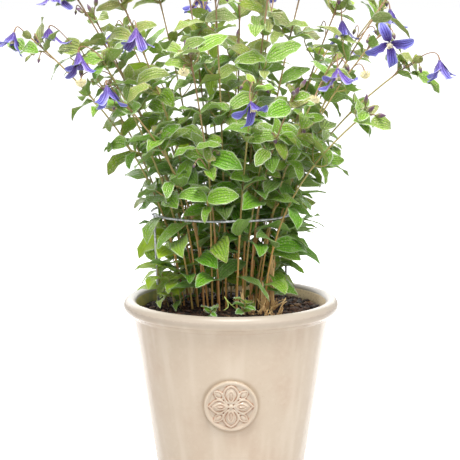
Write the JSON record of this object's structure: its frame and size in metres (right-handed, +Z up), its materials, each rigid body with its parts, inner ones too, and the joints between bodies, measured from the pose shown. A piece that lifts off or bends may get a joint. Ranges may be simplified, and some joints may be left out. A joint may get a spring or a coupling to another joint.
{
  "type": "potted clematis on a wire support",
  "caption": "Bushy clematis with nodding blue flowers, grown in a tall glazed pot with a rolled rim and a flower medallion, its stems held up by a wire ring on legs.",
  "frame": {"origin": "centre of the pot's flat foot, on the ground", "axes": "+Z up along the pot's axis, -Y the front with the pot's medallion, +X to the viewer's right"},
  "size_m": [0.5851, 0.3974, 0.7883],
  "materials": {
    "glaze": "cream glaze, glossy, softly mottled",
    "soil": "dark bark compost, matt, crumbly",
    "wire": "grey galvanised wire, satin",
    "leaf": "living leaves and stems, mid green, downy edges",
    "petal": "violet-blue petals with dark ribs, soft sheen"
  },
  "bodies": {
    "root": {"pot": "glaze", "soil": "soil", "wire_support": "wire", "leafy_stem_01": "leaf", "leafy_stem_02": "leaf", "leafy_stem_03": "leaf", "leafy_stem_04": "leaf", "leafy_stem_05": "leaf", "leafy_stem_06": "leaf", "leafy_stem_07": "leaf", "leafy_stem_08": "leaf", "leafy_stem_09": "leaf", "leafy_stem_10": "leaf", "leafy_stem_11": "leaf", "leafy_stem_12": "leaf", "leafy_stem_13": "leaf", "leafy_stem_14": "leaf", "leafy_stem_15": "leaf", "leafy_stem_16": "leaf", "leafy_stem_17": "leaf", "leafy_stem_18": "leaf", "leafy_stem_19": "leaf", "leafy_stem_20": "leaf", "leafy_stem_21": "leaf", "leafy_stem_22": "leaf", "leafy_stem_23": "leaf", "leafy_stem_24": "leaf", "leafy_stem_25": "leaf", "leafy_stem_26": "leaf", "leafy_stem_27": "leaf", "leafy_stem_28": "leaf", "leafy_stem_29": "leaf", "leafy_stem_30": "leaf", "leafy_stem_31": "leaf", "leafy_stem_32": "leaf", "leafy_stem_33": "leaf", "leafy_stem_34": "leaf", "flower_01": "petal", "flower_02": "petal", "flower_03": "petal", "flower_04": "petal", "flower_05": "petal", "flower_06": "petal", "flower_07": "petal", "flower_08": "petal", "flower_09": "petal", "flower_10": "petal", "flower_11": "petal", "flower_12": "petal", "flower_13": "petal", "flower_14": "petal", "flower_15": "petal", "flower_16": "petal", "flower_17": "petal", "flower_18": "petal", "flower_19": "petal", "flower_20": "petal", "flower_21": "petal", "flower_22": "petal"}
  },
  "joints": []
}
